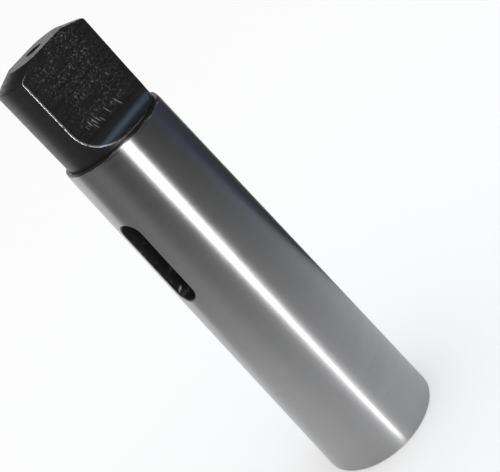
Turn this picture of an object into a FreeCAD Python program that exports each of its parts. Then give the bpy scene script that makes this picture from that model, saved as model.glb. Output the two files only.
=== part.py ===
"""Taper reducing sleeve, number 4 outside and number 2 inside, as one turned, milled and ground solid.

The sleeve stands on its mouth. The origin is the centre of the mouth face, +Z runs along the axis to the
tang, the tang's flats face -Y and +Y, and the drift slot runs through along X. Lengths are in millimetres.
"""
import FreeCAD, Part
import Sketcher

import math
import os

# Driving dimensions: name, value, what it measures
SIZES = (
    ("sleeve_length", 124.0, "mouth face to the end of the tang"),
    ("shank_gauge_dia", 31.267, "outer taper, number 4, at its gauge plane"),
    ("shank_gauge_offset", 6.5, "gauge plane to the mouth face"),
    ("shank_taper_run", 19.254, "length in which the outer diameter falls by 1"),
    ("lead_length", 1.0, "unground lead at the small end of the outer taper"),
    ("lead_drop", 0.2, "what the lead's radius loses at the shoulder"),
    ("mouth_edge_break", 0.3, "chamfer round the outside of the mouth"),
    ("tang_length", 24.0, "shoulder to the end of the tang"),
    ("tang_dia", 24.5, "turned diameter of the tang"),
    ("tang_thickness", 11.9, "across the two milled flats"),
    ("cutter_radius", 8.0, "milling cutter that leaves the runouts"),
    ("tang_end_dia", 14.5, "flat end face of the tang"),
    ("tang_end_drop", 2.0, "height of the cone round the end face"),
    ("tang_corner_radius", 0.6, "turned corner between cone and tang"),
    ("tang_edge_radius", 0.18, "rounding along the edges of the flats"),
    ("socket_dia", 17.78, "inner taper, number 2, at the mouth face"),
    ("socket_taper_run", 20.020, "length in which the inner diameter falls by 1"),
    ("socket_edge_break", 0.6, "chamfer round the inside of the mouth"),
    ("relief_dia", 14.9, "drilled bore behind the inner taper"),
    ("relief_depth", 67.0, "mouth face to the end of the bore's wall"),
    ("drill_point_angle", 118.0, "point left by the drills, in degrees"),
    ("slot_width", 6.3, "drift slot, across the sleeve"),
    ("slot_length", 23.5, "drift slot, along the axis"),
    ("slot_lap", 5.8, "how far the bore's wall reaches into the slot"),
    ("slot_edge_break", 0.25, "chamfer round the slot's two openings"),
    ("centre_dia", 4.25, "mouth of the centre hole in the tang"),
    ("centre_angle", 60.0, "countersink of the centre hole, in degrees"),
    ("centre_pilot_dia", 2.0, "pilot of the centre hole"),
    ("centre_depth", 5.5, "end face to the end of the pilot's wall"),
)

SHEET = "sizes"
TOLERANCE = 1e-4
CUT_PAST = 5.0  # how far an open side of a cut is drawn outside the metal


def cell(alias):
    """The name of a driving dimension in an expression."""
    return f"<<{SHEET}>>.{alias}"


# Sizes that follow from the driving ones
SHOULDER_HEIGHT = f"({cell('sleeve_length')} - {cell('tang_length')})"
LEAD_HEIGHT = f"({SHOULDER_HEIGHT} - {cell('lead_length')})"
MOUTH_DIA = f"({cell('shank_gauge_dia')} + {cell('shank_gauge_offset')} / {cell('shank_taper_run')})"
FLAT_HEIGHT = f"({SHOULDER_HEIGHT} + {cell('cutter_radius')})"
SLOT_START = f"({cell('relief_depth')} - {cell('slot_lap')})"
DRILL_SLOPE = f"tan(90 - {cell('drill_point_angle')} / 2)"
CENTRE_SLOPE = f"tan(90 - {cell('centre_angle')} / 2)"


def shank_radius(height):
    """The outer taper's radius at a height above the mouth face."""
    return f"(({MOUTH_DIA} - {height} / {cell('shank_taper_run')}) / 2)"


def socket_radius(height):
    """The inner taper's radius at a height above the mouth face."""
    return f"(({cell('socket_dia')} - {height} / {cell('socket_taper_run')}) / 2)"


def make_sheet(doc):
    """The spreadsheet of driving dimensions, one row each: value with its alias, then what it measures."""
    sheet = doc.addObject("Spreadsheet::Sheet", SHEET)
    sheet.Label = SHEET
    for row, (alias, value, meaning) in enumerate(SIZES, 1):
        sheet.set(f"A{row}", alias)
        sheet.set(f"B{row}", str(value))
        sheet.setAlias(f"B{row}", alias)
        sheet.set(f"C{row}", meaning)
    doc.recompute()
    return sheet


def origin_feature(body, role):
    """One of the body's own base planes or axes."""
    return next(feature for feature in body.Origin.OriginFeatures if feature.Role == role)


def new_sketch(body, name, plane):
    """An empty sketch on a base plane of the body. Its x is the plane's first axis, and its y is Z."""
    sketch = body.newObject("Sketcher::SketchObject", name)
    sketch.AttachmentSupport = [(origin_feature(body, plane), "")]
    sketch.MapMode = "FlatFace"
    return sketch


def place(sketch, geometry, end, across, up):
    """Put one end of a line or the centre of a circle at (across, up). A size of None is on that axis."""
    for kind, size, axis in (("DistanceX", across, -2), ("DistanceY", up, -1)):
        if size is None:
            sketch.addConstraint(Sketcher.Constraint("PointOnObject", geometry, end, axis))
            continue
        value = sketch.evalExpression(size)
        number = sketch.addConstraint(Sketcher.Constraint(kind, -1, 1, geometry, end, float(value)))
        name = f"{'across' if kind == 'DistanceX' else 'up'}_{geometry}_{end}"
        sketch.renameConstraint(number, name)
        sketch.setExpression(f"Constraints.{name}", size)


def point(sketch, across, up):
    """The start position of a corner, read from the driving dimensions."""
    return FreeCAD.Vector(
        0.0 if across is None else float(sketch.evalExpression(across)),
        0.0 if up is None else float(sketch.evalExpression(up)),
        0.0,
    )


def draw_profile(body, name, plane, corners, rounded=None):
    """A closed outline of straight lines through the corners, each given as (across, up).

    One corner can be rounded: rounded is its number in the list and its radius."""
    sketch = new_sketch(body, name, plane)
    points = [point(sketch, across, up) for across, up in corners]
    following = points[1:] + points[:1]
    sketch.addGeometry([Part.LineSegment(a, b) for a, b in zip(points, following)], False)
    for line in range(len(corners)):
        sketch.addConstraint(Sketcher.Constraint("Coincident", line, 2, (line + 1) % len(corners), 1))
    for line, (across, up) in enumerate(corners):
        place(sketch, line, 1, across, up)
    if rounded:
        corner, radius = rounded
        value = float(sketch.evalExpression(radius))
        sketch.fillet(corner, 1, value, True, True)
        arc = next(n for n, shape in enumerate(sketch.Geometry) if isinstance(shape, Part.ArcOfCircle))
        number = sketch.addConstraint(Sketcher.Constraint("Radius", arc, value))
        sketch.renameConstraint(number, "corner_radius")
        sketch.setExpression("Constraints.corner_radius", radius)
    return sketch


def turn(body, kind, name, corners, rounded=None):
    """A revolution or groove of an outline about the sleeve's axis."""
    sketch = draw_profile(body, f"{name}_profile", "XZ_Plane", corners, rounded)
    feature = body.newObject(f"PartDesign::{kind}", name)
    feature.Profile = sketch
    feature.ReferenceAxis = (sketch, ["V_Axis"])
    feature.Angle = 360.0
    body.Document.recompute()
    return feature


def cut_across(body, name, sketch, start):
    """A cut through all of the sleeve along X, from a sketch moved out to one side of it."""
    sketch.setExpression("AttachmentOffset.Base.z", f"-{start}")
    pocket = body.newObject("PartDesign::Pocket", name)
    pocket.Profile = sketch
    pocket.Type = "ThroughAll"
    pocket.Reversed = True
    body.Document.recompute()
    return pocket


def dress(body, kind, name, size, value, chosen):
    """A chamfer or fillet on those edges of the body so far that the test chooses."""
    base = body.Tip
    edges = [f"Edge{n}" for n, edge in enumerate(base.Shape.Edges, 1) if chosen(edge)]
    feature = body.newObject(f"PartDesign::{kind}", name)
    feature.Base = (base, edges)
    feature.setExpression(size, value)
    body.Document.recompute()
    return feature


def middle(edge):
    """A point half way along an edge."""
    return edge.valueAt((edge.FirstParameter + edge.LastParameter) / 2)


def from_axis(spot):
    """How far a point lies from the sleeve's axis."""
    return math.hypot(spot.x, spot.y)


def rim(radius, height):
    """A test for the full circle of this radius at this height."""

    def chosen(edge):
        spot = middle(edge)
        return (
            abs(from_axis(spot) - radius) < TOLERANCE
            and abs(spot.z - height) < TOLERANCE
            and abs(edge.Length - 2 * math.pi * radius) < TOLERANCE
        )

    return chosen


def turn_blank(body, size):
    """The turned blank: outer taper, its unground lead, the shoulder and the round tang with a coned end."""
    tang_radius = f"{cell('tang_dia')} / 2"
    cone_foot = (tang_radius, f"{cell('sleeve_length')} - {cell('tang_end_drop')}")
    corners = [
        (None, None),
        (f"{MOUTH_DIA} / 2", None),
        (shank_radius(LEAD_HEIGHT), LEAD_HEIGHT),
        (f"{shank_radius(SHOULDER_HEIGHT)} - {cell('lead_drop')}", SHOULDER_HEIGHT),
        (tang_radius, SHOULDER_HEIGHT),
        cone_foot,
        (f"{cell('tang_end_dia')} / 2", cell("sleeve_length")),
        (None, cell("sleeve_length")),
    ]
    rounded = (corners.index(cone_foot), cell("tang_corner_radius"))
    turn(body, "Revolution", "turned_blank", corners, rounded)
    mouth_rim = rim(size(f"{MOUTH_DIA} / 2"), 0.0)
    dress(body, "Chamfer", "mouth_outer_chamfer", "Size", cell("mouth_edge_break"), mouth_rim)


def bore_socket(body, size):
    """The socket: a drilled bore with its drill point, reamed out to the inner taper from the mouth."""
    relief_radius = f"{cell('relief_dia')} / 2"
    turn(
        body,
        "Groove",
        "relief_bore",
        [
            (None, None),
            (relief_radius, None),
            (relief_radius, cell("relief_depth")),
            (None, f"{cell('relief_depth')} + {relief_radius} * {DRILL_SLOPE}"),
        ],
    )
    turn(
        body,
        "Groove",
        "socket_taper",
        [
            (None, None),
            (socket_radius("0"), None),
            (socket_radius(cell("relief_depth")), cell("relief_depth")),
            (None, cell("relief_depth")),
        ],
    )
    socket_rim = rim(size(socket_radius("0")), 0.0)
    dress(body, "Chamfer", "mouth_inner_chamfer", "Size", cell("socket_edge_break"), socket_rim)


def mill_flats(body, size):
    """The tang's two flats. The cutter's round leaves a hollow runout that ends at the shoulder."""
    flat = f"{cell('tang_thickness')} / 2"
    cutter_centre = f"{flat} + {cell('cutter_radius')}"
    outside = f"{cutter_centre} + {CUT_PAST}"
    top = f"{cell('sleeve_length')} + {CUT_PAST}"
    cutter_radius = size(cell("cutter_radius"))
    sketch = new_sketch(body, "flat_profile", "YZ_Plane")
    corners = [
        point(sketch, flat, FLAT_HEIGHT),
        point(sketch, flat, top),
        point(sketch, outside, top),
        point(sketch, outside, SHOULDER_HEIGHT),
        point(sketch, cutter_centre, SHOULDER_HEIGHT),
    ]
    cutter = Part.Circle(point(sketch, cutter_centre, FLAT_HEIGHT), FreeCAD.Vector(0, 0, 1), cutter_radius)
    lines = [Part.LineSegment(a, b) for a, b in zip(corners, corners[1:])]
    sketch.addGeometry(lines + [Part.ArcOfCircle(cutter, math.pi, 1.5 * math.pi)], False)
    arc = len(lines)
    for line in range(1, arc):
        sketch.addConstraint(Sketcher.Constraint("Coincident", line - 1, 2, line, 1))
    sketch.addConstraint(Sketcher.Constraint("Tangent", arc - 1, 2, arc, 2))
    sketch.addConstraint(Sketcher.Constraint("Tangent", 0, 1, arc, 1))
    for line in (0, 2):
        sketch.addConstraint(Sketcher.Constraint("Vertical", line))
    for line in (1, 3):
        sketch.addConstraint(Sketcher.Constraint("Horizontal", line))
    place(sketch, arc, 3, cutter_centre, FLAT_HEIGHT)
    place(sketch, 1, 2, outside, top)
    number = sketch.addConstraint(Sketcher.Constraint("Radius", arc, cutter_radius))
    sketch.renameConstraint(number, "cutter_radius")
    sketch.setExpression("Constraints.cutter_radius", cell("cutter_radius"))
    pocket = cut_across(body, "flat", sketch, cell("tang_dia"))
    mirrored = body.newObject("PartDesign::Mirrored", "flats")
    mirrored.Originals = [pocket]
    mirrored.MirrorPlane = (origin_feature(body, "XZ_Plane"), [""])
    body.Tip = mirrored
    body.Document.recompute()

    half = size(flat)
    shoulder = size(SHOULDER_HEIGHT)

    def on_flat(edge):
        """An edge that lies all along in one of the flats, apart from where the runout begins."""
        spots = [edge.valueAt(edge.FirstParameter), middle(edge), edge.valueAt(edge.LastParameter)]
        lies = all(abs(abs(spot.y) - half) < TOLERANCE and spot.z > shoulder for spot in spots)
        across = abs(spots[0].z - spots[2].z) < TOLERANCE
        low = max(spot.z for spot in spots) < size(FLAT_HEIGHT) + TOLERANCE
        return lies and not (across and low)

    dress(body, "Fillet", "tang_edges", "Radius", cell("tang_edge_radius"), on_flat)


def mill_slot(body, size):
    """The drift slot, with round ends, through the sleeve from side to side."""
    sketch = new_sketch(body, "slot_profile", "YZ_Plane")
    radius = size(f"{cell('slot_width')} / 2")
    low = f"{SLOT_START} + {cell('slot_width')} / 2"
    high = f"{SLOT_START} + {cell('slot_length')} - {cell('slot_width')} / 2"
    upward = FreeCAD.Vector(0, 0, 1)
    ends = [
        Part.ArcOfCircle(Part.Circle(point(sketch, None, low), upward, radius), math.pi, 2 * math.pi),
        Part.ArcOfCircle(Part.Circle(point(sketch, None, high), upward, radius), 0, math.pi),
    ]
    side = FreeCAD.Vector(radius, 0, 0)
    sides = [
        Part.LineSegment(point(sketch, None, low) + side, point(sketch, None, high) + side),
        Part.LineSegment(point(sketch, None, high) - side, point(sketch, None, low) - side),
    ]
    sketch.addGeometry(ends + sides, False)
    for first, first_end, second, second_end in ((0, 2, 2, 1), (2, 2, 1, 1), (1, 2, 3, 1), (3, 2, 0, 1)):
        sketch.addConstraint(Sketcher.Constraint("Tangent", first, first_end, second, second_end))
    sketch.addConstraint(Sketcher.Constraint("Equal", 0, 1))
    place(sketch, 0, 3, None, low)
    place(sketch, 1, 3, None, high)
    number = sketch.addConstraint(Sketcher.Constraint("Radius", 0, radius))
    sketch.renameConstraint(number, "end_radius")
    sketch.setExpression("Constraints.end_radius", f"{cell('slot_width')} / 2")
    cut_across(body, "drift_slot", sketch, MOUTH_DIA)

    mouth_radius = size(f"{MOUTH_DIA} / 2")
    fall = 1 / size(f"2 * {cell('shank_taper_run')}")
    start = size(SLOT_START)
    end = start + size(cell("slot_length"))

    def on_outside(edge):
        """An edge of the slot on the outer taper."""
        spot = middle(edge)
        outside = abs(from_axis(spot) - (mouth_radius - fall * spot.z)) < TOLERANCE
        in_slot = abs(spot.y) < radius + TOLERANCE and start - TOLERANCE < spot.z < end + TOLERANCE
        return outside and in_slot

    dress(body, "Chamfer", "slot_chamfer", "Size", cell("slot_edge_break"), on_outside)


def drill_centre(body):
    """The centre hole in the end of the tang, on which the sleeve was held for grinding."""
    mouth = f"{cell('centre_dia')} / 2"
    pilot = f"{cell('centre_pilot_dia')} / 2"
    top = cell("sleeve_length")
    floor = f"{top} - {cell('centre_depth')}"
    turn(
        body,
        "Groove",
        "centre_hole",
        [
            (None, top),
            (mouth, top),
            (pilot, f"{top} - ({mouth} - {pilot}) * {CENTRE_SLOPE}"),
            (pilot, floor),
            (None, f"{floor} - {pilot} * {DRILL_SLOPE}"),
        ],
    )


def make_sleeve(doc, sheet):
    """The whole sleeve, in the order in which it is made."""
    body = doc.addObject("PartDesign::Body", "sleeve")
    body.Label = "sleeve"

    def size(expression):
        """What an expression of the driving dimensions comes to."""
        return float(sheet.evalExpression(expression))

    turn_blank(body, size)
    bore_socket(body, size)
    mill_flats(body, size)
    mill_slot(body, size)
    drill_centre(body)
    return body


def check(doc, pieces):
    """Stop if any object failed or any piece has no sound solid."""
    for thing in doc.Objects:
        if {"Invalid", "Error"} & set(thing.State):
            raise RuntimeError(f"{thing.Label} failed: {thing.State}")
    for piece in pieces:
        shape = piece.Shape
        if shape.isNull() or not shape.isValid() or len(shape.Solids) != 1:
            raise RuntimeError(f"{piece.Label} isn't one sound solid")


def main():
    """Makes the document, checks it and writes the sleeve's solid."""
    doc = FreeCAD.newDocument("taper_sleeve")
    sheet = make_sheet(doc)
    pieces = [make_sleeve(doc, sheet)]
    doc.recompute()
    check(doc, pieces)
    os.makedirs("parts", exist_ok=True)
    for piece in pieces:
        piece.Shape.exportStep(f"parts/{piece.Label}.step")
        print(f"{piece.Label}: {piece.Shape.Volume:.1f} mm3")


main()
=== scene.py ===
"""Reducing sleeve with a tapered shank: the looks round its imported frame, for Blender 4.5.

The sleeve is spun, milled and bevelled as a turner and a miller make it,
and gets its finishes face by face.
"""

import math

import bmesh
import bpy
from bpy.props import FloatProperty, FloatVectorProperty, IntProperty, PointerProperty
from mathutils import Euler, Matrix, Vector


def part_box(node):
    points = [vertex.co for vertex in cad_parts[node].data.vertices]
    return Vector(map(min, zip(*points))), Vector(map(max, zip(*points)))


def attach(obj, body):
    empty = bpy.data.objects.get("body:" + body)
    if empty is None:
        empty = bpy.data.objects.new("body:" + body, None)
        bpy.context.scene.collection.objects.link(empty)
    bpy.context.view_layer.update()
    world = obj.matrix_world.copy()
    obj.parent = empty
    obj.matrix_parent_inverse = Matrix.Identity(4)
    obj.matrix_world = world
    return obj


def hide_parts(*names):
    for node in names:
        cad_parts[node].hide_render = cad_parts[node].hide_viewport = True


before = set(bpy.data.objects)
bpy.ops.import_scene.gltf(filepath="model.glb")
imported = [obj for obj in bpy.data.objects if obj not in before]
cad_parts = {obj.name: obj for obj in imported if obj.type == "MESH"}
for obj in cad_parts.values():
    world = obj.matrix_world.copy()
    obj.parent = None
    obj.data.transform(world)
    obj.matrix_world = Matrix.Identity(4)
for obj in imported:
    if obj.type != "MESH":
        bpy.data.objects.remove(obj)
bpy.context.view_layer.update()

bl_info = {
    "name": "Taper Sleeve",
    "version": (1, 0, 0),
    "blender": (4, 5, 0),
    "location": "3D View > Sidebar > Taper Sleeve",
    "description": "Models the reducing sleeve over its packed frame and sets its studio",
    "category": "Object",
}

MM = 0.001
SAME_SPOT = 0.002 * MM  # points nearer than this are one point
NEAR_ON_EDGE = 0.09 * MM  # points on a cut edge nearer than this are drawn together
PAST = 5 * MM  # how far a cutter reaches outside the metal

# How finely the sleeve is divided
SOCKET_ROWS = 6
SHANK_ROWS = 9
RUNOUT_FACES = 11
SLOT_END_FACES = 24
ROUNDING_FACES = 3

# Finishes, in the order of the sleeve's material slots
GROUND, OXIDE, FLAT, WORN, BORE, SLOT, CORNER = range(7)


def length(name, description, millimetres):
    """A length, given in millimetres and kept in metres."""
    return FloatProperty(
        name=name, description=description, default=millimetres * MM, min=0, precision=5, unit="LENGTH"
    )


def tint(name, description, colour):
    """A colour of a finish or of the studio."""
    return FloatVectorProperty(
        name=name, description=description, default=colour, size=3, min=0, max=1, subtype="COLOR"
    )


def angle(name, description, degrees):
    """An angle, given in degrees and kept in radians."""
    return FloatProperty(name=name, description=description, default=math.radians(degrees), subtype="ANGLE")


def number(name, description, value):
    """A plain number, such as a taper or the level of a light."""
    return FloatProperty(name=name, description=description, default=value, min=0)


class SleeveSizes(bpy.types.PropertyGroup):
    """Sizes on the sleeve's drawing."""

    total: length("Length", "Mouth face to the end of the tang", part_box("sleeve")[1].z / MM)
    gauge_width: length("Gauge diameter", "Outer taper's diameter at its gauge plane", 31.267)
    gauge_offset: length("Gauge offset", "Gauge plane above the mouth face", 6.5)
    shank_run: number("Shank taper", "Length in which the outer diameter falls by 1", 19.254)
    lead: length("Lead", "Unground end of the outer taper", 1.0)
    lead_drop: length("Lead drop", "How far the unground end falls below the taper at the shoulder", 0.2)
    mouth_break: length("Mouth edge", "Chamfer round the outside of the mouth", 0.3)
    tang_length: length("Tang length", "Shoulder to the end of the tang", 24.0)
    tang_width: length("Tang diameter", "Turned diameter of the tang", 24.5)
    tang_thickness: length("Tang thickness", "Across the flats", 11.9)
    cutter_radius: length("Cutter radius", "Round left by the cutter where a flat runs out", 8.0)
    end_width: length("End face", "Diameter of the tang's end face", 14.5)
    end_drop: length("End cone", "Height of the coned end", 2.0)
    corner_radius: length("Corner", "Rounding between the tang's side and its cone", 0.6)
    edge_radius: length("Flat edges", "Rounding along the edges of the flats", 0.18)
    socket_width: length("Socket", "Inner taper's diameter at the mouth face", 17.78)
    socket_run: number("Socket taper", "Length in which the inner diameter falls by 1", 20.020)
    socket_break: length("Socket edge", "Chamfer round the inside of the mouth", 0.6)
    relief_width: length("Relief", "Drilled bore behind the inner taper", 14.9)
    relief_depth: length("Relief depth", "Mouth face to the end of the bore's wall", 67.0)
    drill_point: angle("Drill point", "Point left by the drills", 118.0)
    slot_width: length("Slot width", "Drift slot, across the sleeve", 6.3)
    slot_length: length("Slot length", "Drift slot, along the axis", 23.5)
    slot_lap: length("Slot lap", "How far the bore's wall reaches into the slot", 5.8)
    slot_break: length("Slot edge", "Chamfer round the slot's two openings", 0.25)
    centre_width: length("Centre hole", "Mouth of the centre hole in the tang", 4.25)
    centre_angle: angle("Countersink", "Countersink of the centre hole", 60.0)
    pilot_width: length("Pilot", "Pilot of the centre hole", 2.0)
    centre_depth: length("Centre depth", "End face to the end of the pilot's wall", 5.5)
    columns: IntProperty(
        name="Columns", description="Faces round the sleeve, a multiple of four", default=144, min=4
    )


class SleeveFinish(bpy.types.PropertyGroup):
    """Colours of the finishes, and the size of their grain."""

    steel: tint("Ground steel", "Bright steel of the ground taper", (0.455, 0.455, 0.46))
    steel_dark: tint("Steel between rings", "Duller steel between the wheel's rings", (0.41, 0.41, 0.415))
    oxide: tint("Oxide", "Black of the tang", (0.012, 0.012, 0.013))
    oxide_thin: tint("Thin oxide", "Black where the oxide is thinner", (0.022, 0.021, 0.021))
    speck: tint("Specks", "Grey specks on the tang's flats", (0.125, 0.122, 0.119))
    scratch: tint("Scratches", "Bare metal in the scratches on the flats", (0.28, 0.27, 0.26))
    # Also the colour of the painted glints and the painted lit chamfer in the slot
    worn: tint("Worn steel", "Steel worn bare, on the edges of the flats and in the slot", (0.75, 0.73, 0.70))
    slot: tint("Slot", "Walls of the drift slot", (0.020, 0.018, 0.017))
    slot_rub: tint("Thin black", "Brown patches on the slot's walls", (0.10, 0.085, 0.07))
    ring: length("Ring", "Spacing of the rings that the wheel leaves", 0.16)
    speck_size: length("Speck size", "Size of the specks on the flats", 0.50)


class StageSettings(bpy.types.PropertyGroup):
    """The studio: where the camera stands, and how light and dark its cards are."""

    camera_place: FloatVectorProperty(
        name="Camera place", description="Where the camera stands, from the middle of the mouth",
        default=(-0.11217, -0.19800, 0.15323), precision=5, subtype="TRANSLATION", unit="LENGTH",
    )
    camera_turn: FloatVectorProperty(
        name="Camera turn", description="Turn of the camera about X, then Y, then Z",
        default=(math.radians(61.109), math.radians(38.487), math.radians(-50.341)), subtype="EULER",
    )
    lens: FloatProperty(
        name="Lens", description="Focal length for a sensor 36 mm wide", default=76.647, unit="CAMERA"
    )
    sky_level: number("Sky level", "Strength of the soft light all round", 0.80)
    floor_colour: tint("Floor", "Pale paper under the sleeve", (0.86, 0.86, 0.86))
    floor_radius: length("Floor radius", "Round sheet of paper under the sleeve", 3000.0)
    paper_level: number("Paper level", "What brings the lit floor up to white where it is seen", 0.28)
    strip_turn: angle("Strip's place", "Round from the camera, to the right", 6.3)
    strip_spread: angle("Strip's width", "Width of the long highlight's light, seen from the sleeve", 4.3)
    strip_near: length("Strip's near end", "On the floor, from the sleeve's axis", 20.0)
    strip_far: length("Strip's far end", "On the floor, from the sleeve's axis", 110.0)
    strip_top: length("Strip's top", "Above the floor, at the far end", 140.0)
    strip_flare: number("Strip's flare", "Times as wide at its top as at its foot", 5.4)
    strip_level: number("Strip's level", "Times as bright as white, along the floor", 5.0)
    strip_top_level: number("Strip's top level", "Times as bright as white, at the top", 8.0)
    strip_low: length("Strip's low height", "Up to here it is as bright as along the floor", 20.0)
    strip_high: length("Strip's high height", "From here it is as bright as at the top", 100.0)
    window_turn: angle("Window's place", "Round from the camera, to the right", 116.5)
    window_rise: angle("Window's height", "Above the spot that it faces", 60.0)
    window_away: length("Window's distance", "From the spot that it faces", 250.0)
    window_aim: FloatVectorProperty(
        name="Window's aim", description="The spot that it faces, on the front flat's runout",
        default=(0, -9 * MM, 102 * MM), precision=5, subtype="TRANSLATION", unit="LENGTH",
    )
    window_side: length("Window's side", "Side of the square window", 40.0)
    window_level: number("Window's level", "Times as bright as white", 9.0)
    window_colour: tint("Window's colour", "Blue of the sky in the window", (0.45, 0.72, 1.0))
    card_radius: length("Card radius", "Dark card round the sleeve", 130.0)
    card_height: length("Card height", "From its foot to its top", 600.0)
    card_close: length("Card's right end", "How near to the axis the card comes at its right end", 85.0)
    card_turn_in: angle("Card's turn in", "Where it starts to come nearer, round from the camera", 100.0)
    card_start: angle("Card start", "Left end of the card, round from the camera", -115.0)
    card_end: angle("Card end", "Right end of the card, round from the camera", 150.0)
    back_foot: length("Back card's foot", "Above the floor", 172.0)
    back_height: length("Back card's height", "From its foot to its top", 450.0)
    back_tone: tint("Back card", "Grey of the card behind the sleeve", (0.04, 0.04, 0.04))


# The sleeve's shape


def along(start, end, count):
    """Evenly spaced values from start to end, both included."""
    return [start + (end - start) * step / count for step in range(count + 1)]


def shank_radius(sizes, height):
    """The outer taper's radius at a height above the mouth face."""
    return (sizes.gauge_width + (sizes.gauge_offset - height) / sizes.shank_run) / 2


def socket_radius(sizes, height):
    """The inner taper's radius at a height above the mouth face."""
    return (sizes.socket_width - height / sizes.socket_run) / 2


def shoulder_height(sizes):
    """Where the taper ends and the tang starts, above the mouth face."""
    return sizes.total - sizes.tang_length


def slot_foot(sizes):
    """The slot's lower end, above the mouth face."""
    return sizes.relief_depth - sizes.slot_lap


def half_section(sizes):
    """Radius and height of each corner, from the drill point's tip round the mouth to the centre hole."""
    top = sizes.total
    shoulder = shoulder_height(sizes)
    relief = sizes.relief_width / 2
    relief_start = (sizes.socket_width - sizes.relief_width) * sizes.socket_run
    centre = sizes.centre_width / 2
    pilot = sizes.pilot_width / 2
    sink = (centre - pilot) / math.tan(sizes.centre_angle / 2)
    pilot_end = top - sizes.centre_depth
    tip = sizes.relief_depth + relief / math.tan(sizes.drill_point / 2)
    section = [(0, tip), (relief, sizes.relief_depth)]
    for height in along(relief_start, sizes.socket_break, SOCKET_ROWS):
        section.append((socket_radius(sizes, height), height))
    section.append((socket_radius(sizes, 0) + sizes.socket_break, 0))
    section.append((shank_radius(sizes, 0) - sizes.mouth_break, 0))
    for height in along(sizes.mouth_break, shoulder - sizes.lead, SHANK_ROWS):
        section.append((shank_radius(sizes, height), height))
    section.append((shank_radius(sizes, shoulder) - sizes.lead_drop, shoulder))
    section.append((sizes.tang_width / 2, shoulder))
    section.append((sizes.tang_width / 2, shoulder + (sizes.tang_length - sizes.end_drop) / 2))
    section.append((sizes.tang_width / 2, top - sizes.end_drop))
    section.append((sizes.end_width / 2, top))
    section.append((centre, top))
    section.append((pilot, top - sink))
    section.append((pilot, pilot_end))
    section.append((0, pilot_end - pilot / math.tan(sizes.drill_point / 2)))
    return section


def from_axis(spot):
    """How far a point lies from the sleeve's axis."""
    return math.hypot(spot.x, spot.y)


def turned_finish(face, sizes):
    """The finish of a face of the turned blank, by where it lies."""
    middle = face.calc_center_median()
    if middle.z > shoulder_height(sizes) - SAME_SPOT:
        return OXIDE
    if from_axis(middle) < sizes.socket_width / 2 + sizes.socket_break:
        return BORE
    return GROUND


def spin_blank(sizes):
    """The turned blank, bore and centre hole included, with the rounded corner of the tang's cone."""
    form = bmesh.new()
    points = [form.verts.new((radius, 0, height)) for radius, height in half_section(sizes)]
    lines = [form.edges.new(pair) for pair in zip(points, points[1:])]
    bmesh.ops.spin(
        form, geom=points + lines, cent=(0, 0, 0), axis=(0, 0, 1), angle=math.tau, steps=sizes.columns,
        use_merge=True,
    )
    bmesh.ops.remove_doubles(form, verts=form.verts, dist=SAME_SPOT / 10)
    bmesh.ops.recalc_face_normals(form, faces=form.faces)
    for face in form.faces:
        face.material_index = turned_finish(face, sizes)
    round_corner(form, sizes)
    return form


def round_corner(form, sizes):
    """Round the corner between the tang's side and its cone."""
    radius = sizes.tang_width / 2
    height = sizes.total - sizes.end_drop

    def on_corner(vert):
        return abs(from_axis(vert.co) - radius) < SAME_SPOT and abs(vert.co.z - height) < SAME_SPOT

    ring = [edge for edge in form.edges if all(on_corner(vert) for vert in edge.verts)]
    slope = math.atan2(sizes.end_drop, radius - sizes.end_width / 2)
    setback = sizes.corner_radius * math.tan((math.pi / 2 - slope) / 2)
    for face in bevel(form, ring, setback, ROUNDING_FACES):
        face.material_index = CORNER


def bevel(form, edges, setback, segments):
    """Bevel edges and return the new faces."""
    made = bmesh.ops.bevel(
        form, geom=edges, offset=setback, offset_type="OFFSET", segments=segments, profile=0.5,
        affect="EDGES", material=-1, clamp_overlap=False, loop_slide=False,
    )
    return made["faces"]


def extruded(form, face, start, end, finish):
    """Turn an outline that stands at the sleeve's middle plane into a cutter along X, from start to end."""
    made = bmesh.ops.extrude_face_region(form, geom=[face])
    moved = [part for part in made["geom"] if isinstance(part, bmesh.types.BMVert)]
    bmesh.ops.translate(form, vec=(end - start, 0, 0), verts=moved)
    bmesh.ops.translate(form, vec=(start, 0, 0), verts=form.verts)
    bmesh.ops.recalc_face_normals(form, faces=form.faces)
    for face in form.faces:
        face.material_index = finish
    return form


def cutter_axis(sizes):
    """The middle of the round that runs a flat out: distance from the middle plane, and height."""
    return sizes.tang_thickness / 2 + sizes.cutter_radius, shoulder_height(sizes) + sizes.cutter_radius


def flat_cutter(sizes, side):
    """The cutter for one flat: its side leaves the flat, its round the runout."""
    out, up = cutter_axis(sizes)
    radius = sizes.cutter_radius
    outside = sizes.tang_width / 2 + PAST
    outline = [(sizes.tang_thickness / 2, sizes.total + PAST)]
    last_in_metal = math.radians(66)
    past_metal = math.radians(80)
    for turn in [*along(0, last_in_metal, RUNOUT_FACES), past_metal]:
        outline.append((out - radius * math.cos(turn), up - radius * math.sin(turn)))
    outline += [(outside, outline[-1][1]), (outside, sizes.total + PAST)]
    form = bmesh.new()
    face = form.faces.new([form.verts.new((0, side * y, z)) for y, z in outline])
    return extruded(form, face, -outside, outside, FLAT)


def slot_cutter(sizes):
    """The cutter for the drift slot: straight sides and full-radius ends, right through along X."""
    radius = sizes.slot_width / 2
    form = bmesh.new()
    bmesh.ops.create_circle(form, cap_ends=True, segments=2 * SLOT_END_FACES, radius=radius)
    bmesh.ops.rotate(form, verts=form.verts, matrix=Matrix.Rotation(math.pi / 2, 3, "Y"))
    above = [vert for vert in form.verts if vert.co.z > SAME_SPOT]
    bmesh.ops.translate(form, vec=(0, 0, sizes.slot_length - sizes.slot_width), verts=above)
    bmesh.ops.translate(form, vec=(0, 0, slot_foot(sizes) + radius), verts=form.verts)
    reach = shank_radius(sizes, 0) + PAST
    [face] = form.faces
    return extruded(form, face, -reach, reach, SLOT)


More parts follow.
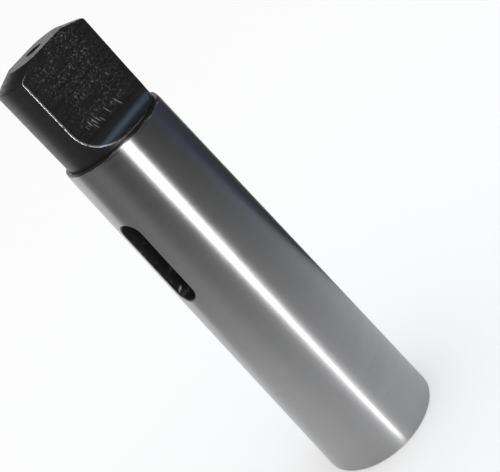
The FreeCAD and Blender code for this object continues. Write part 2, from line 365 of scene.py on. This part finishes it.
def new_object(name, form):
    """An object for a finished form, in the scene."""
    mesh = bpy.data.meshes.new(name)
    form.to_mesh(mesh)
    form.free()
    thing = bpy.data.objects.new(name, mesh)
    bpy.context.scene.collection.objects.link(thing)
    return thing


def cut(blank, cutters):
    """The blank with the cutters taken out of it, as a form."""
    for cutter in cutters:
        bite = blank.modifiers.new(cutter.name, "BOOLEAN")
        bite.object = cutter
        bite.solver = "EXACT"
    graph = bpy.context.evaluated_depsgraph_get()
    form = bmesh.new()
    form.from_mesh(blank.evaluated_get(graph).data)
    for thing in [blank, *cutters]:
        bpy.data.objects.remove(thing)
    bmesh.ops.remove_doubles(form, verts=form.verts, dist=SAME_SPOT)
    return form


def cut_edges(form, finish, least_radius):
    """Edges between a cut surface and the rest, no nearer to the axis than a radius."""
    return [
        edge
        for edge in form.edges
        if sum(face.material_index == finish for face in edge.link_faces) == 1
        and all(from_axis(vert.co) > least_radius for vert in edge.verts)
    ]


def break_edges(form, sizes):
    """Round the edges of the flats, and chamfer the slot where it comes out."""
    past_bore = (sizes.relief_width + sizes.slot_width) / 2
    edges = cut_edges(form, FLAT, 0) + cut_edges(form, SLOT, past_bore)
    near = list({vert for edge in edges for vert in edge.verts})
    bmesh.ops.remove_doubles(form, verts=near, dist=NEAR_ON_EDGE)
    half_turn = math.acos(sizes.tang_thickness / sizes.tang_width) / 2
    setback = sizes.edge_radius * math.tan(half_turn)
    for face in bevel(form, cut_edges(form, FLAT, 0), setback, ROUNDING_FACES):
        face.material_index = WORN
    for face in bevel(form, cut_edges(form, SLOT, past_bore), sizes.slot_break, 1):
        face.material_index = SLOT
    # The bevel's rounding errors stay below the end face
    for vert in form.verts:
        vert.co.z = min(vert.co.z, sizes.total)


def turned_normal(face, spot):
    """The normal of the cone, cylinder or plane that a turned face lies on, at one of its points."""
    middle = face.calc_center_median()
    outward = Vector((middle.x, middle.y, 0)).normalized()
    slope = face.normal.dot(outward)
    here = Vector((spot.x, spot.y, 0)).normalized()
    return (here * slope + Vector((0, 0, face.normal.z))).normalized()


def true_normal(face, vert, sizes):
    """The normal that the real surface has at a corner of a face."""
    spot = vert.co
    if face.material_index in (WORN, CORNER):
        beside = [other for other in vert.link_faces if other.material_index not in (WORN, CORNER)]
        return true_normal(beside[0], vert, sizes) if beside else vert.normal
    if face.material_index == FLAT:
        out, up = cutter_axis(sizes)
        side = math.copysign(1, spot.y)
        return Vector((0, side * out - spot.y, max(0, up - spot.z))).normalized()
    if face.material_index == SLOT:
        return face.normal
    if from_axis(spot) < SAME_SPOT:
        return face.normal
    return turned_normal(face, spot)


def model_sleeve(sizes):
    """The sleeve's own piece, with the finish of each face."""
    blank = new_object("blank", spin_blank(sizes))
    cutters = [
        new_object("front_flat", flat_cutter(sizes, -1)),
        new_object("back_flat", flat_cutter(sizes, 1)),
        new_object("slot", slot_cutter(sizes)),
    ]
    form = cut(blank, cutters)
    break_edges(form, sizes)
    form.normal_update()
    for face in form.faces:
        face.smooth = True
    normals = [true_normal(face, vert, sizes) for face in form.faces for vert in face.verts]
    for face in form.faces:
        if face.material_index == CORNER:
            face.material_index = OXIDE
    piece = new_object("sleeve_body", form)
    piece.data.normals_split_custom_set(normals)
    return piece


# Nodes


def feed(tree, socket, value):
    """Link an input to another node's output, or set it."""
    if isinstance(value, bpy.types.NodeSocket):
        tree.links.new(value, socket)
    else:
        socket.default_value = value


def place(tree, kind, inputs, **options):
    """Add a node, set its options, and link or set its inputs."""
    node = tree.nodes.new(kind)
    for name, value in options.items():
        setattr(node, name, value)
    for name, value in inputs.items():
        feed(tree, node.inputs[name], value)
    return node


def calc(tree, operation, *values, clamp=False):
    """What a Math node makes of its values."""
    inputs = dict(enumerate(values))
    return place(tree, "ShaderNodeMath", inputs, operation=operation, use_clamp=clamp).outputs[0]


def vector_calc(tree, operation, *values):
    """What a Vector Math node makes of its vectors."""
    node = place(tree, "ShaderNodeVectorMath", dict(enumerate(values)), operation=operation)
    return node.outputs["Value" if operation in ("LENGTH", "DOT_PRODUCT") else "Vector"]


def scaled(tree, vector, factor):
    """A vector times a number."""
    inputs = {0: vector, "Scale": factor}
    return place(tree, "ShaderNodeVectorMath", inputs, operation="SCALE").outputs["Vector"]


def parts(tree, vector):
    """X, Y and Z of a vector."""
    return place(tree, "ShaderNodeSeparateXYZ", {0: vector}).outputs


def axis_distance(tree, spot):
    """How far a spot lies from the sleeve's axis."""
    return vector_calc(tree, "LENGTH", vector_calc(tree, "MULTIPLY", spot, (1, 1, 0)))


def ease(tree, value, low, high, start=0.0, end=1.0):
    """A number that eases from start to end while the value runs from low to high."""
    inputs = {0: value, 1: low, 2: high, 3: start, 4: end}
    return place(tree, "ShaderNodeMapRange", inputs, interpolation_type="SMOOTHSTEP").outputs[0]


def noise(tree, vector, scale, detail=2.0, distortion=0.0):
    """Noise between 0 and 1, mostly near the middle."""
    inputs = {"Vector": vector, "Scale": scale, "Detail": detail, "Distortion": distortion, "Roughness": 0.6}
    return place(tree, "ShaderNodeTexNoise", inputs).outputs["Fac"]


def blend(tree, factor, first, second):
    """A colour between two others."""
    # Inputs 6 and 7 and output 2 are the node's colours
    inputs = {0: factor, 6: first, 7: second}
    return place(tree, "ShaderNodeMix", inputs, data_type="RGBA").outputs[2]


def opaque(colour):
    """A colour of the settings as a node's colour."""
    return (*colour, 1)


# Effects that finishes share


def new_group(name, numbers, output):
    """A node group from a vector and named numbers to one number; gives it, its start and its end."""
    group = bpy.data.node_groups.new(name, "ShaderNodeTree")
    group.interface.new_socket(name="Vector", in_out="INPUT", socket_type="NodeSocketVector")
    for label in numbers:
        group.interface.new_socket(name=label, in_out="INPUT", socket_type="NodeSocketFloat")
    group.interface.new_socket(name=output, in_out="OUTPUT", socket_type="NodeSocketFloat")
    start = group.nodes.new("NodeGroupInput").outputs
    end = group.nodes.new("NodeGroupOutput").inputs[output]
    return group, start, end


def turned_lines():
    """Lines round the axis, as a tool or a wheel leaves them on any turned face."""
    group, start, end = new_group("turned_lines", ("Spacing", "Breaks"), "Lines")
    outward = vector_calc(group, "NORMALIZE", vector_calc(group, "MULTIPLY", start["Vector"], (1, 1, 0)))
    around = scaled(group, outward, start["Breaks"])
    travel = calc(group, "ADD", parts(group, start["Vector"])["Z"], axis_distance(group, start["Vector"]))
    lines_on = calc(group, "DIVIDE", travel, start["Spacing"])
    upward = place(group, "ShaderNodeCombineXYZ", {"Z": lines_on}).outputs[0]
    lines = noise(group, vector_calc(group, "ADD", around, upward), 1.0, detail=3.0)
    feed(group, end, ease(group, lines, 0.3, 0.7))
    return group


def mottle():
    """Uneven patches: 1 inside a patch, 0 between them."""
    group, start, end = new_group("mottle", ("Size", "Rarity", "Softness"), "Patches")
    patches = noise(group, start["Vector"], calc(group, "DIVIDE", 1.0, start["Size"]), distortion=0.6)
    limit = calc(group, "ADD", start["Rarity"], start["Softness"])
    feed(group, end, ease(group, patches, start["Rarity"], limit))
    return group


def edge_wear():
    """Wear along the edges of the flats: most on the front's left and the back's right, least at the end."""
    group, start, end = new_group("edge_wear", ("Radius", "Reach", "Top"), "Wear")
    across = parts(group, start["Vector"])
    to_edge = calc(group, "SUBTRACT", start["Radius"], axis_distance(group, start["Vector"]))
    near = ease(group, calc(group, "DIVIDE", to_edge, start["Reach"]), 0.3, 1.0, 1.0, 0.0)
    side = ease(group, calc(group, "ABSOLUTE", across["X"]), 5.5 * MM, 9.5 * MM, 0.12, 1.0)
    corner = calc(group, "MULTIPLY", across["X"], across["Y"])
    one_side = ease(group, corner, -40 * MM * MM, 10 * MM * MM)
    below = ease(group, calc(group, "SUBTRACT", start["Top"], across["Z"]), 1.2 * MM, 2.2 * MM, 0.05, 1.0)
    wear = ease(group, noise(group, start["Vector"], 1400.0), 0.30, 0.52)
    for share in (near, side, one_side, below):
        wear = calc(group, "MULTIPLY", wear, share)
    feed(group, end, wear)
    return group


def scratch():
    """An oval mark, on coordinates that a Mapping node centres and turns and that reach 1 at its edge."""
    group, start, end = new_group("scratch", (), "Scratch")
    feed(group, end, ease(group, vector_calc(group, "LENGTH", start["Vector"]), 0.45, 1.0, 1.0, 0.0))
    return group


def apply_effect(tree, build, **inputs):
    """The value of a shared effect in a material; the effect is built when one first asks for it."""
    group = bpy.data.node_groups.get(build.__name__) or build()
    named = {name.capitalize(): value for name, value in inputs.items()}
    return place(tree, "ShaderNodeGroup", named, node_tree=group).outputs[0]


def marked(tree, spot, centre, turn, radii):
    """How far a spot belongs to an oval mark with a centre, a turn about Y and three radii."""
    inputs = {"Vector": spot, "Location": centre, "Rotation": (0, turn, 0), "Scale": radii}
    oval = place(tree, "ShaderNodeMapping", inputs, vector_type="TEXTURE").outputs[0]
    return apply_effect(tree, scratch, vector=oval)


# Finishes


def new_material(name):
    """A material, its nodes, the inputs of its surface shader and where on the piece it is."""
    material = bpy.data.materials.new(name)
    material.use_nodes = True
    tree = material.node_tree
    spot = tree.nodes.new("ShaderNodeTexCoord").outputs["Object"]
    return material, tree, tree.nodes["Principled BSDF"].inputs, spot


def radial_grain(tree, shader, amount):
    """Run the shader's grain round the axis."""
    shader["Anisotropic"].default_value = amount
    shader["Anisotropic Rotation"].default_value = 0.25
    around = place(tree, "ShaderNodeTangent", {}, direction_type="RADIAL", axis="Z").outputs[0]
    feed(tree, shader["Tangent"], around)


def raise_lines(tree, shader, height, depth, strength):
    """Bump the surface by a height between 0 and 1 times a depth."""
    inputs = {"Height": height, "Distance": depth, "Strength": strength}
    feed(tree, shader["Normal"], place(tree, "ShaderNodeBump", inputs).outputs["Normal"])


def left_black(tree, spot, sizes):
    """1 on the unground end at the shoulder, with a ragged border, and 0 below it."""
    ragged = apply_effect(tree, turned_lines, vector=spot, spacing=0.6 * MM, breaks=3.0)
    lowest = shoulder_height(sizes) - 0.9 * sizes.lead
    border = calc(tree, "MULTIPLY_ADD", ragged, 0.5 * sizes.lead, lowest)
    above = calc(tree, "SUBTRACT", parts(tree, spot)["Z"], border)
    return ease(tree, calc(tree, "DIVIDE", above, 0.25 * sizes.lead), 0.0, 1.0)


def ground_steel(colours, sizes):
    """Ground taper: fine rings from the wheel, and black left on the unground end at the shoulder."""
    material, tree, shader, spot = new_material("ground_steel")
    fine = apply_effect(tree, turned_lines, vector=spot, spacing=colours.ring, breaks=1.2)
    broad = apply_effect(tree, turned_lines, vector=spot, spacing=colours.ring * 6, breaks=1.2)
    cloud = apply_effect(tree, mottle, vector=spot, size=9 * MM, rarity=0.35, softness=0.4)
    tone = calc(tree, "MULTIPLY_ADD", fine, 0.5, calc(tree, "MULTIPLY", broad, 0.3))
    tone = calc(tree, "MULTIPLY_ADD", cloud, 0.2, tone)
    bare = blend(tree, tone, opaque(colours.steel_dark), opaque(colours.steel))
    black = left_black(tree, spot, sizes)
    feed(tree, shader["Base Color"], blend(tree, black, bare, opaque(colours.oxide)))
    feed(tree, shader["Metallic"], calc(tree, "SUBTRACT", 1.0, black))
    rough = calc(tree, "MULTIPLY_ADD", fine, 0.08, calc(tree, "MULTIPLY_ADD", broad, 0.03, 0.31))
    feed(tree, shader["Roughness"], rough)
    radial_grain(tree, shader, 0.92)
    raise_lines(tree, shader, fine, 0.0004 * MM, 0.3)
    return material


def black_oxide(colours, sizes):
    """Turned sides and end of the tang, blackened over the tool's lines."""
    material, tree, shader, spot = new_material("black_oxide")
    lines = apply_effect(tree, turned_lines, vector=spot, spacing=0.3 * MM, breaks=2.0)
    patches = apply_effect(tree, mottle, vector=spot, size=1.4 * MM, rarity=0.42, softness=0.3)
    thin = calc(tree, "MULTIPLY_ADD", lines, 0.5, calc(tree, "MULTIPLY", patches, 0.5))
    feed(tree, shader["Base Color"], blend(tree, thin, opaque(colours.oxide), opaque(colours.oxide_thin)))
    feed(tree, shader["Roughness"], calc(tree, "MULTIPLY_ADD", lines, 0.12, 0.30))
    raise_lines(tree, shader, lines, 0.008 * MM, 0.6)
    return material


# Scratches on the front flat, in millimetres: where each starts and ends, across and above the mouth,
# its width, and how bright it is
SCRATCHES = (
    ((2.60, 106.6), (3.15, 103.7), 0.30, 1.0),
    ((-0.60, 106.8), (-0.20, 104.4), 0.28, 0.8),
    ((-2.95, 106.0), (-2.60, 104.2), 0.28, 0.7),
    ((-3.75, 106.9), (-3.35, 104.9), 0.30, 0.8),
    ((-4.55, 107.2), (-4.25, 104.8), 0.32, 0.9),
    ((-5.10, 106.2), (-4.90, 104.2), 0.28, 0.7),
    ((-5.65, 107.4), (-5.50, 105.3), 0.32, 0.8),
    ((-6.80, 107.0), (-6.70, 105.4), 0.26, 0.45),
)


def scratches(tree, spot, sizes):
    """How bright the scratches are at a spot, the same ones on both flats."""
    beyond_flat = sizes.tang_thickness / 2 + 0.5 * MM
    depth = 4 * MM  # enough to meet the runout, which leaves the flat's plane
    bright = 0.0
    for first, last, width, level in SCRATCHES:
        middle = (Vector(first) + Vector(last)) / 2 * MM
        run = (Vector(last) - Vector(first)) * MM
        radii = (width * MM / 2, depth, run.length / 2)
        for side in (-1, 1):
            centre = (-side * middle.x, side * beyond_flat, middle.y)
            line = marked(tree, spot, centre, -side * math.atan2(run.x, run.y), radii)
            bright = calc(tree, "MAXIMUM", bright, calc(tree, "MULTIPLY", line, level))
    return bright


def specks(tree, spot, colours, sizes):
    """Grey specks on the flats: densest along the middle, and none low on the runout."""
    across = parts(tree, spot)
    shoulder = shoulder_height(sizes)
    fine = apply_effect(tree, mottle, vector=spot, size=colours.speck_size, rarity=0.53, softness=0.12)
    drifts = apply_effect(tree, mottle, vector=spot, size=3.5 * MM, rarity=0.33, softness=0.3)
    side = ease(tree, calc(tree, "ABSOLUTE", across["X"]), 4.5 * MM, 10.5 * MM, 1.0, 0.12)
    low = ease(tree, across["Z"], shoulder + 3.5 * MM, shoulder + 6.5 * MM)
    return calc(tree, "MULTIPLY", calc(tree, "MULTIPLY", fine, drifts), calc(tree, "MULTIPLY", side, low))


def milled_flat(colours, sizes):
    """Flats of the tang: blackened over the cutter's marks, with grey specks and a few scratches."""
    material, tree, shader, spot = new_material("milled_flat")
    marks = noise(tree, vector_calc(tree, "MULTIPLY", spot, (90, 400, 3800)), 1.0, detail=3.0)
    bare = blend(tree, ease(tree, marks, 0.35, 0.65), opaque(colours.oxide), opaque(colours.oxide_thin))
    specked = blend(tree, specks(tree, spot, colours, sizes), bare, opaque(colours.speck))
    scratched = blend(tree, scratches(tree, spot, sizes), specked, opaque(colours.scratch))
    radius = sizes.tang_width / 2
    wear = apply_effect(tree, edge_wear, vector=spot, radius=radius, reach=0.4 * MM, top=sizes.total)
    feed(tree, shader["Base Color"], blend(tree, wear, scratched, opaque(colours.worn)))
    feed(tree, shader["Metallic"], wear)
    feed(tree, shader["Roughness"], ease(tree, marks, 0.3, 0.7, 0.28, 0.33))
    raise_lines(tree, shader, marks, 0.004 * MM, 0.4)
    return material


def worn_edge(colours, sizes):
    """Rounded edges of the flats, worn to steel along one side and black elsewhere."""
    material, tree, shader, spot = new_material("worn_edge")
    wear = apply_effect(tree, edge_wear, vector=spot, radius=0.0, reach=1.0, top=sizes.total)
    feed(tree, shader["Base Color"], blend(tree, wear, opaque(colours.oxide), opaque(colours.worn)))
    feed(tree, shader["Metallic"], wear)
    feed(tree, shader["Roughness"], ease(tree, wear, 0.0, 1.0, 0.35, 0.45))
    return material


def reamed_bore(colours, sizes):
    """Socket and relief bore: steel with the rings that the reamer and the drill leave."""
    material, tree, shader, spot = new_material("reamed_bore")
    lines = apply_effect(tree, turned_lines, vector=spot, spacing=0.4 * MM, breaks=1.5)
    stain = apply_effect(tree, mottle, vector=spot, size=4 * MM, rarity=0.4, softness=0.3)
    tone = calc(tree, "MULTIPLY", lines, calc(tree, "MULTIPLY_ADD", stain, -0.5, 1.0))
    feed(tree, shader["Base Color"], blend(tree, tone, opaque(colours.steel_dark), opaque(colours.steel)))
    shader["Metallic"].default_value = 1.0
    feed(tree, shader["Roughness"], calc(tree, "MULTIPLY_ADD", lines, 0.12, 0.30))
    radial_grain(tree, shader, 0.6)
    raise_lines(tree, shader, lines, 0.01 * MM, 0.5)
    return material


def slot_ends(tree, spot, sizes):
    """1 on the chamfer round the slot's two ends, and 0 elsewhere."""
    height = parts(tree, spot)["Z"]
    half = sizes.slot_length / 2
    from_middle = calc(tree, "ABSOLUTE", calc(tree, "SUBTRACT", height, slot_foot(sizes) + half))
    ends = ease(tree, from_middle, half - 1.6 * MM, half - 0.5 * MM)
    outside = calc(tree, "MULTIPLY_ADD", height, -0.5 / sizes.shank_run, shank_radius(sizes, 0))
    deep = calc(tree, "SUBTRACT", outside, axis_distance(tree, spot))
    outer = ease(tree, deep, 0.8 * sizes.slot_break, 1.4 * sizes.slot_break, 1.0, 0.0)
    return calc(tree, "MULTIPLY", ends, outer)


def drift_rubs(tree, spot, sizes):
    """Painted glints: light patches near the lower end of each opening, where the wall catches the light."""
    out = 12.6 * MM
    above_foot = 2.6 * MM
    lean = math.radians(25)
    radii = (1.1 * MM, 1.5 * MM, 0.45 * MM)
    glints = 0.0
    for side in (-1, 1):
        centre = (side * out, -side * sizes.slot_width / 2, slot_foot(sizes) + above_foot)
        glint = marked(tree, spot, centre, side * lean, radii)
        glints = calc(tree, "MAXIMUM", glints, glint)
    return calc(tree, "MULTIPLY", glints, ease(tree, noise(tree, spot, 2200.0), 0.35, 0.55))


def slot_wall(colours, sizes):
    """Walls of the drift slot: milled, blackened unevenly, with painted glints near the lower ends, and
    greyer on the ends' chamfer as a painted lit facet.
    """
    material, tree, shader, spot = new_material("slot_wall")
    patches = apply_effect(tree, mottle, vector=spot, size=1.6 * MM, rarity=0.56, softness=0.12)
    black = blend(tree, patches, opaque(colours.slot), opaque(colours.slot_rub))
    # Painted lit facet: the chamfer round the slot's ends is made lighter grey
    painted_lit_ends = calc(tree, "MULTIPLY", slot_ends(tree, spot, sizes), 0.12)
    # Painted light: the glints and the lit chamfer, in the worn steel's colour on the slot's black
    bare = calc(tree, "MAXIMUM", drift_rubs(tree, spot, sizes), painted_lit_ends)
    feed(tree, shader["Base Color"], blend(tree, bare, black, opaque(colours.worn)))
    marks = noise(tree, vector_calc(tree, "MULTIPLY", spot, (400, 2500, 2500)), 1.0, detail=2.0)
    feed(tree, shader["Roughness"], ease(tree, marks, 0.3, 0.7, 0.32, 0.5))
    raise_lines(tree, shader, marks, 0.01 * MM, 0.5)
    return material


class SLEEVE_OT_model_sleeve(bpy.types.Operator):
    """Spin, cut and bevel the sleeve, and give each face its finish"""

    bl_idname = "sleeve.model_sleeve"
    bl_label = "Model the sleeve"

    def execute(self, context):
        colours = context.scene.sleeve_finish
        sizes = context.scene.sleeve_sizes
        piece = model_sleeve(sizes)
        for finish in (ground_steel, black_oxide, milled_flat, worn_edge, reamed_bore, slot_wall):
            piece.data.materials.append(finish(colours, sizes))
        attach(piece, "root")
        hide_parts("sleeve")
        return {"FINISHED"}


# Studio


def heading(settings, turn):
    """The direction of the camera, turned to the right round the sleeve."""
    return math.atan2(settings.camera_place[0], -settings.camera_place[1]) + turn


def towards(way, rise=0.0):
    """The direction of a heading, seen from the sleeve, at a rise above the floor."""
    return Vector((math.sin(way) * math.cos(rise), -math.cos(way) * math.cos(rise), math.sin(rise)))


def seen_rays(tree):
    """1 for what the camera sees, by itself or in metal or glass, and 0 for light."""
    rays = tree.nodes.new("ShaderNodeLightPath").outputs
    total = calc(tree, "ADD", rays["Is Camera Ray"], rays["Is Glossy Ray"])
    return calc(tree, "ADD", total, rays["Is Transmission Ray"], clamp=True)


def set_camera(scene, settings):
    """Put the camera where it stood for the photograph."""
    view = bpy.data.cameras.new("camera")
    view.lens = settings.lens
    view.sensor_width = 36.0
    view.clip_start = 0.01
    view.clip_end = 50.0
    camera = bpy.data.objects.new("camera", view)
    scene.collection.objects.link(camera)
    camera.location = settings.camera_place
    camera.rotation_euler = Euler(settings.camera_turn)
    scene.camera = camera


def set_sky(scene, settings):
    """Soft even light from all round, white where it is seen."""
    world = bpy.data.worlds.new("studio")
    world.use_nodes = True
    scene.world = world
    tree = world.node_tree
    light = tree.nodes["Background"]
    light.inputs["Strength"].default_value = settings.sky_level
    light.inputs["Color"].default_value = (1, 1, 1, 1)
    seen = place(tree, "ShaderNodeBackground", {"Color": (1, 1, 1, 1)})
    mix = place(tree, "ShaderNodeMixShader", {0: seen_rays(tree), 1: light.outputs[0], 2: seen.outputs[0]})
    feed(tree, tree.nodes["World Output"].inputs["Surface"], mix.outputs[0])


def set_floor(settings):
    """Pale paper that is white where it is seen in full light, and keeps the sleeve's shadow."""
    form = bmesh.new()
    bmesh.ops.create_circle(form, cap_ends=True, segments=64, radius=settings.floor_radius)
    floor = new_object("floor", form)
    material, tree, shader, _ = new_material("pale_floor")
    shader["Base Color"].default_value = opaque(settings.floor_colour)
    shader["Roughness"].default_value = 0.9
    shader["Specular IOR Level"].default_value = 0.0
    level = calc(tree, "MULTIPLY", seen_rays(tree), settings.paper_level)
    shader["Emission Strength"].default_value = 1.0
    feed(tree, shader["Emission Color"], level)
    floor.data.materials.append(material)


def glow(name, form):
    """A stage piece that shines and shows in reflections alone; gives its nodes, shader and coordinates."""
    piece = new_object(name, form)
    material, tree, shader, spot = new_material(name)
    shader["Base Color"].default_value = (0, 0, 0, 1)
    shader["Roughness"].default_value = 1.0
    shader["Specular IOR Level"].default_value = 0.0
    shader["Emission Strength"].default_value = 1.0
    piece.data.materials.append(material)
    piece.visible_camera = False
    piece.visible_diffuse = False
    piece.visible_shadow = False
    return tree, shader, spot


# The card's grey and its blue, at angles round from the camera
CARD_TONES = (
    (-120, (0.30, 0.30, 0.30)),
    (-95, (0.23, 0.23, 0.23)),
    (-66, (0.24, 0.24, 0.24)),
    (-42, (0.03, 0.03, 0.03)),
    (70, (0.02, 0.02, 0.02)),
    (92, (0.08, 0.095, 0.135)),
    (112, (0.07, 0.085, 0.12)),
    (130, (0.07, 0.07, 0.075)),
)
CARD_FACES = 64
CARD_OFF_FLOOR = 1 * MM
STRIP_OFF_FLOOR = 0.5 * MM


def curved_card(settings, start, turn, foot, height):
    """A card bent round the sleeve, from a place round from the camera on through a turn."""
    form = bmesh.new()
    low = form.verts.new(settings.card_radius * towards(heading(settings, start)) + Vector((0, 0, foot)))
    high = form.verts.new(low.co + Vector((0, 0, height)))
    line = form.edges.new((low, high))
    bmesh.ops.spin(
        form, geom=[low, high, line], cent=(0, 0, 0), axis=(0, 0, 1), angle=turn, steps=CARD_FACES,
        use_merge=False,
    )
    return form


def set_back_card(settings):
    """A dark card behind the sleeve that hangs above its end and shows only in its reflections."""
    gap = math.tau - settings.card_end + settings.card_start
    form = curved_card(settings, settings.card_end, gap, settings.back_foot, settings.back_height)
    _, shader, _ = glow("back_card", form)
    shader["Emission Color"].default_value = opaque(settings.back_tone)


def set_card(settings):
    """A card that stands round the sleeve, nearer at its right end, and shows only in its reflections."""
    width = settings.card_end - settings.card_start
    form = curved_card(settings, settings.card_start, width, CARD_OFF_FLOOR, settings.card_height)
    closest = settings.card_close / settings.card_radius
    for vert in form.verts:
        turn = math.atan2(vert.co.x, -vert.co.y) - heading(settings, 0)
        part = (turn - settings.card_turn_in) / (settings.card_end - settings.card_turn_in)
        nearness = 1 + (closest - 1) * min(1, max(0, part))
        bmesh.ops.scale(form, vec=(nearness, nearness, 1), verts=[vert])
    tree, shader, spot = glow("card", form)
    inputs = {"Vector": spot, "Rotation": (0, 0, math.pi / 2 - heading(settings, 0))}
    turned = place(tree, "ShaderNodeMapping", inputs).outputs[0]
    around = place(tree, "ShaderNodeTexGradient", {"Vector": turned}, gradient_type="RADIAL").outputs["Fac"]
    ramp = place(tree, "ShaderNodeValToRGB", {"Fac": around})
    stops = ramp.color_ramp.elements
    while len(stops) < len(CARD_TONES):
        stops.new(0.5)
    for stop, (degrees, colour) in zip(stops, CARD_TONES):
        stop.position = degrees / 360 + 0.5
        stop.color = opaque(colour)
    feed(tree, shader["Emission Color"], ramp.outputs["Color"])


def pulled(form, line):
    """Pull a new edge out of one; gives the new edge and its two points."""
    made = bmesh.ops.extrude_edge_only(form, edges=[line])["geom"]
    points = [part for part in made if isinstance(part, bmesh.types.BMVert)]
    return next(part for part in made if isinstance(part, bmesh.types.BMEdge)), points


def set_strip(settings):
    """The narrow light of the long highlight: along the floor towards the sleeve, then up."""
    form = bmesh.new()
    near = settings.strip_near
    side = near * math.tan(settings.strip_spread / 2)
    line = form.edges.new([form.verts.new((way * side, -near, STRIP_OFF_FLOOR)) for way in (-1, 1)])
    line, far = pulled(form, line)
    times = settings.strip_far / near
    bmesh.ops.scale(form, vec=(times, times, 1), verts=far)
    _, top = pulled(form, line)
    bmesh.ops.scale(form, vec=(settings.strip_flare, 1, 1), verts=top)
    bmesh.ops.translate(form, vec=(0, 0, settings.strip_top), verts=top)
    turn = Matrix.Rotation(heading(settings, settings.strip_turn), 3, "Z")
    bmesh.ops.rotate(form, matrix=turn, verts=form.verts)
    tree, shader, spot = glow("strip_light", form)
    height = parts(tree, spot)["Z"]
    level = ease(
        tree, height, settings.strip_low, settings.strip_high, settings.strip_level, settings.strip_top_level
    )
    feed(tree, shader["Emission Color"], scaled(tree, (1, 1, 1), level))


def set_window(scene, settings):
    """A soft window high on the right, which shows as a blue band in the front flat's runout."""
    way = towards(heading(settings, settings.window_turn), settings.window_rise)
    light = bpy.data.lights.new("window", "AREA")
    light.size = settings.window_side
    light.energy = settings.window_level * math.pi * settings.window_side**2
    light.color = settings.window_colour
    window = bpy.data.objects.new("window", light)
    scene.collection.objects.link(window)
    window.location = Vector(settings.window_aim) + settings.window_away * way
    window.rotation_euler = (-way).to_track_quat("-Z", "Y").to_euler()
    window.visible_camera = False


class SLEEVE_OT_set_stage(bpy.types.Operator):
    """Set the camera, the sky, the floor, the cards and the lights"""

    bl_idname = "sleeve.set_stage"
    bl_label = "Set the stage"

    def execute(self, context):
        settings = context.scene.sleeve_stage
        context.scene.view_settings.view_transform = "Standard"
        set_camera(context.scene, settings)
        set_sky(context.scene, settings)
        set_floor(settings)
        set_card(settings)
        set_back_card(settings)
        set_strip(settings)
        set_window(context.scene, settings)
        return {"FINISHED"}


class SLEEVE_PT_panel(bpy.types.Panel):
    """Lists what models the sleeve and sets its stage"""

    bl_label = "Taper Sleeve"
    bl_idname = "SLEEVE_PT_panel"
    bl_space_type = "VIEW_3D"
    bl_region_type = "UI"
    bl_category = "Taper Sleeve"

    def draw(self, context):
        self.layout.operator(SLEEVE_OT_model_sleeve.bl_idname)
        self.layout.operator(SLEEVE_OT_set_stage.bl_idname)


CLASSES = (
    SleeveSizes, SleeveFinish, StageSettings, SLEEVE_OT_model_sleeve, SLEEVE_OT_set_stage, SLEEVE_PT_panel,
)


def register():
    for kind in CLASSES:
        bpy.utils.register_class(kind)
    bpy.types.Scene.sleeve_sizes = PointerProperty(type=SleeveSizes)
    bpy.types.Scene.sleeve_finish = PointerProperty(type=SleeveFinish)
    bpy.types.Scene.sleeve_stage = PointerProperty(type=StageSettings)


def unregister():
    del bpy.types.Scene.sleeve_stage
    del bpy.types.Scene.sleeve_finish
    del bpy.types.Scene.sleeve_sizes
    for kind in reversed(CLASSES):
        bpy.utils.unregister_class(kind)


def main():
    """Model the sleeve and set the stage."""
    register()
    bpy.ops.sleeve.model_sleeve()
    bpy.ops.sleeve.set_stage()


if __name__ == "__main__":
    main()
